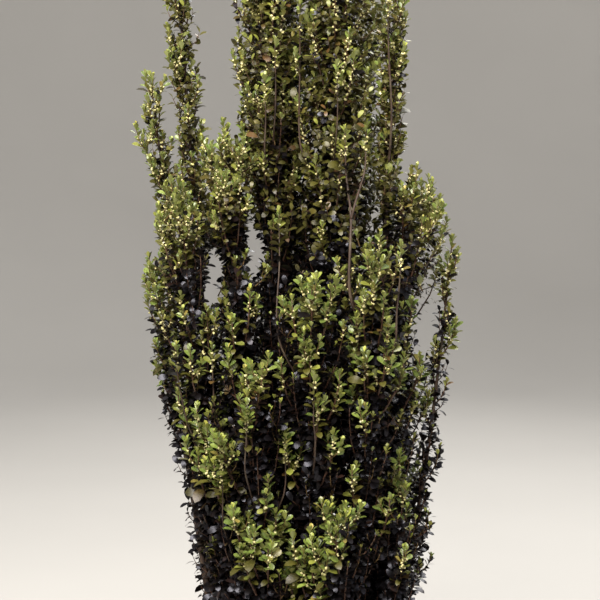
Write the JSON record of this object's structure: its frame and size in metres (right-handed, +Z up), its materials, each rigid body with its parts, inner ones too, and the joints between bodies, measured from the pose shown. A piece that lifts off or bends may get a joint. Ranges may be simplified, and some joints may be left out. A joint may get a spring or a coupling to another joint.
{
  "type": "potted japanese holly",
  "caption": "Narrow upright evergreen shrub: a clump of near-vertical leafy columns and thin spires in a plain round clay pot with a banded rim.",
  "frame": {"origin": "centre of the pot's underside", "axes": "+Z up along the pot's axis; the side of the plant that the picture shows faces -Y; +X is to the right in the picture"},
  "size_m": [0.4914, 0.4053, 1.5321],
  "materials": {
    "terracotta": "matt fired clay",
    "compost": "loose moist bark compost",
    "bark": "smooth dull bark",
    "foliage": "glossy dark leaves",
    "pale_foliage": "glossy lighter leaves"
  },
  "bodies": {
    "root": {"pot": "terracotta", "compost": "compost", "stock": "bark", "stem_back_left": "bark", "stem_back_right": "bark", "stem_centre_left": "bark", "stem_centre_right": "bark", "stem_front_centre": "bark", "stem_front_left": "bark", "stem_front_right": "bark", "stem_left_back": "bark", "stem_left_inner": "bark", "stem_left_low_spire": "bark", "stem_left_short_spire": "bark", "stem_left_shoulder": "bark", "stem_left_spire": "bark", "stem_rear_centre": "bark", "stem_rear_left": "bark", "stem_rear_right": "bark", "stem_right_back": "bark", "stem_right_shoulder": "bark", "stem_right_spire": "bark", "stem_right_thin_spire": "bark", "leaves_back_left": "foliage", "leaves_back_right": "foliage", "leaves_centre_left": "foliage", "leaves_centre_right": "foliage", "leaves_front_centre": "foliage", "leaves_front_left": "foliage", "leaves_front_right": "foliage", "leaves_left_back": "foliage", "leaves_left_inner": "foliage", "leaves_left_low_spire": "foliage", "leaves_left_short_spire": "foliage", "leaves_left_shoulder": "foliage", "leaves_left_spire": "foliage", "leaves_low_back": "pale_foliage", "leaves_low_front": "pale_foliage", "leaves_low_front_left": "pale_foliage", "leaves_low_front_right": "pale_foliage", "leaves_low_left_back": "pale_foliage", "leaves_low_right_back": "pale_foliage", "leaves_rear_centre": "foliage", "leaves_rear_left": "foliage", "leaves_rear_right": "foliage", "leaves_right_back": "foliage", "leaves_right_shoulder": "foliage", "leaves_right_spire": "foliage", "leaves_right_thin_spire": "foliage"}
  },
  "joints": []
}
